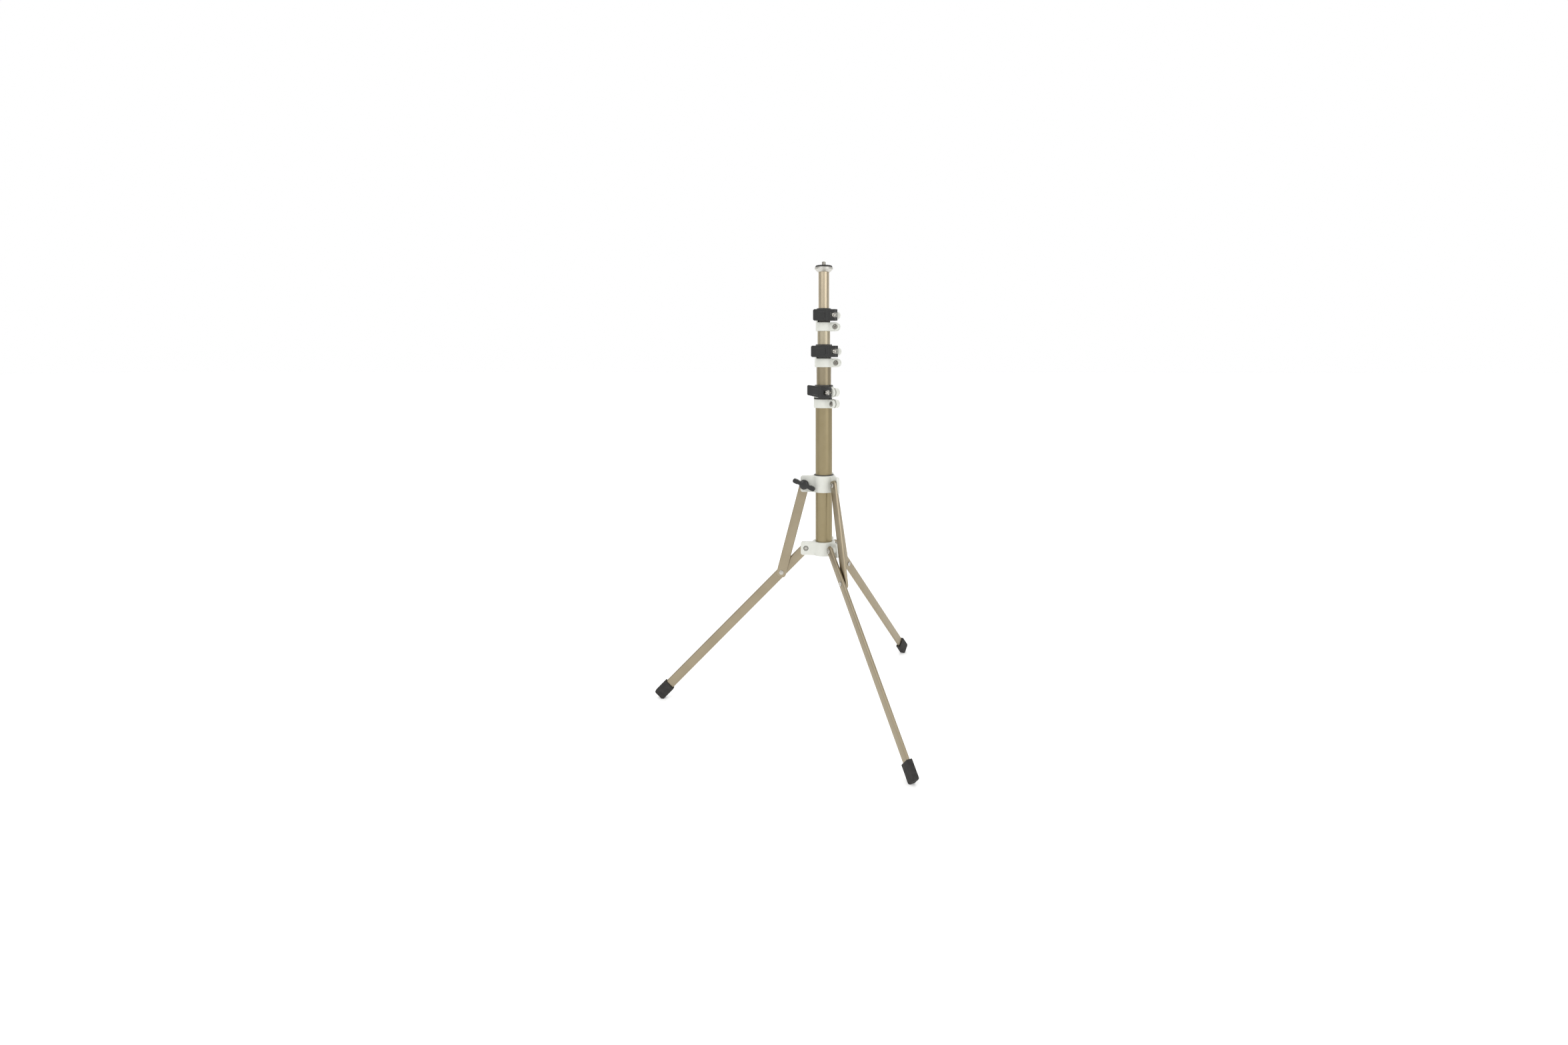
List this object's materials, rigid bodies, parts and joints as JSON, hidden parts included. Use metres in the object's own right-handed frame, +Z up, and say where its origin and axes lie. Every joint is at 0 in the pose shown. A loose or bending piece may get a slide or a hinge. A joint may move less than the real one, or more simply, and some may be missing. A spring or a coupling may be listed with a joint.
{
  "type": "folding camera stand",
  "caption": "Folding telescopic camera stand: three-leg base with braces on a sliding collar, lever-clamped tube sections and a round top plate with a threaded stud.",
  "frame": {"origin": "bottom centre of the bounding box, on the floor, legs opened; the pole's axis stands at x 61.66 mm, y 1.20 mm", "axes": "+Z up along the pole to the camera stud; -X is the way leg 1 and the wing knob point; the closed levers' handles are on the -Y side"},
  "size_m": [0.3906, 0.4484, 0.6627],
  "materials": {
    "champagne_aluminium": "satin anodised, champagne",
    "white_plastic": "moulded, satin, off-white",
    "black_plastic": "moulded, fine grain, black",
    "dark_nylon": "moulded nylon, dark grey",
    "rubber": "moulded rubber, matte, charcoal",
    "plain_aluminium": "turned aluminium, clear",
    "steel": "nickel-plated steel",
    "brass": "turned brass"
  },
  "bodies": {
    "root": {"main_tube": "champagne_aluminium", "base_plug": "dark_nylon", "leg_hub": "white_plastic", "leg_pivot_screws": "steel", "leg_pivot_nuts": "steel", "lower_clamp_body": "white_plastic", "lower_clamp_bushing": "dark_nylon", "lower_cam_barrel": "steel", "lower_cam_bolt": "steel", "lower_ring_screw": "steel", "lower_clamp_nuts": "steel"},
    "section_2": {"section_2_tube": "champagne_aluminium", "section_2_guide": "dark_nylon", "middle_clamp_body": "white_plastic", "middle_clamp_bushing": "dark_nylon", "middle_cam_barrel": "steel", "middle_cam_bolt": "steel", "middle_ring_screw": "steel", "middle_clamp_nuts": "steel"},
    "section_3": {"section_3_tube": "champagne_aluminium", "section_3_guide": "dark_nylon", "upper_clamp_body": "white_plastic", "upper_clamp_bushing": "dark_nylon", "upper_cam_barrel": "steel", "upper_cam_bolt": "steel", "upper_ring_screw": "steel", "upper_clamp_nuts": "steel"},
    "section_4": {"section_4_tube": "champagne_aluminium", "section_4_guide": "dark_nylon", "top_plate": "plain_aluminium", "plate_pad": "rubber", "stud_plug": "dark_nylon", "camera_stud": "steel"},
    "collar": {"spreader_collar": "white_plastic", "collar_bushing": "dark_nylon", "brace_pivot_screws": "steel", "brace_pivot_nuts": "steel", "lock_bolt": "steel"},
    "knob": {"lock_knob": "black_plastic", "knob_insert": "brass"},
    "lower_lever": {"lower_lever": "black_plastic"},
    "middle_lever": {"middle_lever": "black_plastic"},
    "upper_lever": {"upper_lever": "black_plastic"},
    "leg_1": {"leg_1_tube": "champagne_aluminium", "leg_1_foot": "rubber", "leg_1_rivet": "steel"},
    "brace_1": {"brace_1_bar": "champagne_aluminium", "brace_1_rivet": "steel"},
    "leg_2": {"leg_2_tube": "champagne_aluminium", "leg_2_foot": "rubber", "leg_2_rivet": "steel"},
    "brace_2": {"brace_2_bar": "champagne_aluminium", "brace_2_rivet": "steel"},
    "leg_3": {"leg_3_tube": "champagne_aluminium", "leg_3_foot": "rubber", "leg_3_rivet": "steel"},
    "brace_3": {"brace_3_bar": "champagne_aluminium", "brace_3_rivet": "steel"}
  },
  "joints": [
    {"name": "collar_slide", "type": "slide", "parent": "root", "child": "collar", "axis": [0, 0, 1], "range_m": [0, 0.09592]},
    {"name": "leg_1_fold", "type": "hinge", "parent": "root", "child": "leg_1", "pos_m": [0.03546, 0.0012, 0.23387], "axis": [0, 1, 0], "range_deg": [0, 131]},
    {"name": "brace_1_swing", "type": "hinge", "parent": "collar", "child": "brace_1", "pos_m": [0.03336, 0.0012, 0.33022], "axis": [0, 1, 0], "range_deg": [-13.87, 0]},
    {"name": "leg_2_fold", "type": "hinge", "parent": "root", "child": "leg_2", "pos_m": [0.07476, -0.02149, 0.23387], "axis": [-0.866, -0.5, 0], "range_deg": [0, 131]},
    {"name": "brace_2_swing", "type": "hinge", "parent": "collar", "child": "brace_2", "pos_m": [0.07581, -0.02331, 0.33022], "axis": [-0.866, -0.5, 0], "range_deg": [-13.87, 0]},
    {"name": "leg_3_fold", "type": "hinge", "parent": "root", "child": "leg_3", "pos_m": [0.07476, 0.02389, 0.23387], "axis": [0.866, -0.5, 0], "range_deg": [0, 131]},
    {"name": "brace_3_swing", "type": "hinge", "parent": "collar", "child": "brace_3", "pos_m": [0.07581, 0.02571, 0.33022], "axis": [0.866, -0.5, 0], "range_deg": [-13.87, 0]},
    {"name": "section_2_slide", "type": "slide", "parent": "root", "child": "section_2", "axis": [0, 0, 1], "range_m": [-0.0264, 0.1452]},
    {"name": "section_3_slide", "type": "slide", "parent": "section_2", "child": "section_3", "axis": [0, 0, 1], "range_m": [-0.0197, 0.1822]},
    {"name": "section_4_slide", "type": "slide", "parent": "section_3", "child": "section_4", "axis": [0, 0, 1], "range_m": [-0.0544, 0.1778]},
    {"name": "lower_lever_turn", "type": "hinge", "parent": "root", "child": "lower_lever", "pos_m": [0.06885, -0.02131, 0.46697], "axis": [0, 0, 1], "range_deg": [0, 115]},
    {"name": "middle_lever_turn", "type": "hinge", "parent": "section_2", "child": "middle_lever", "pos_m": [0.07847, -0.01348, 0.52768], "axis": [0, 0, 1], "range_deg": [0, 115]},
    {"name": "upper_lever_turn", "type": "hinge", "parent": "section_3", "child": "upper_lever", "pos_m": [0.07749, -0.01265, 0.58168], "axis": [0, 0, 1], "range_deg": [0, 115]},
    {"name": "knob_turn", "type": "hinge", "parent": "collar", "child": "knob", "pos_m": [0.03336, -0.00815, 0.33022], "axis": [0, -1, 0], "continuous": true}
  ],
  "couplings": [
    {"joint": "leg_2_fold", "follows": "leg_1_fold", "ratio": 1},
    {"joint": "leg_3_fold", "follows": "leg_1_fold", "ratio": 1},
    {"joint": "collar_slide", "follows": "leg_1_fold", "m_per_rad": 0.041932},
    {"joint": "brace_1_swing", "follows": "leg_1_fold", "ratio": -0.10582},
    {"joint": "brace_2_swing", "follows": "leg_1_fold", "ratio": -0.10582},
    {"joint": "brace_3_swing", "follows": "leg_1_fold", "ratio": -0.10582}
  ]
}
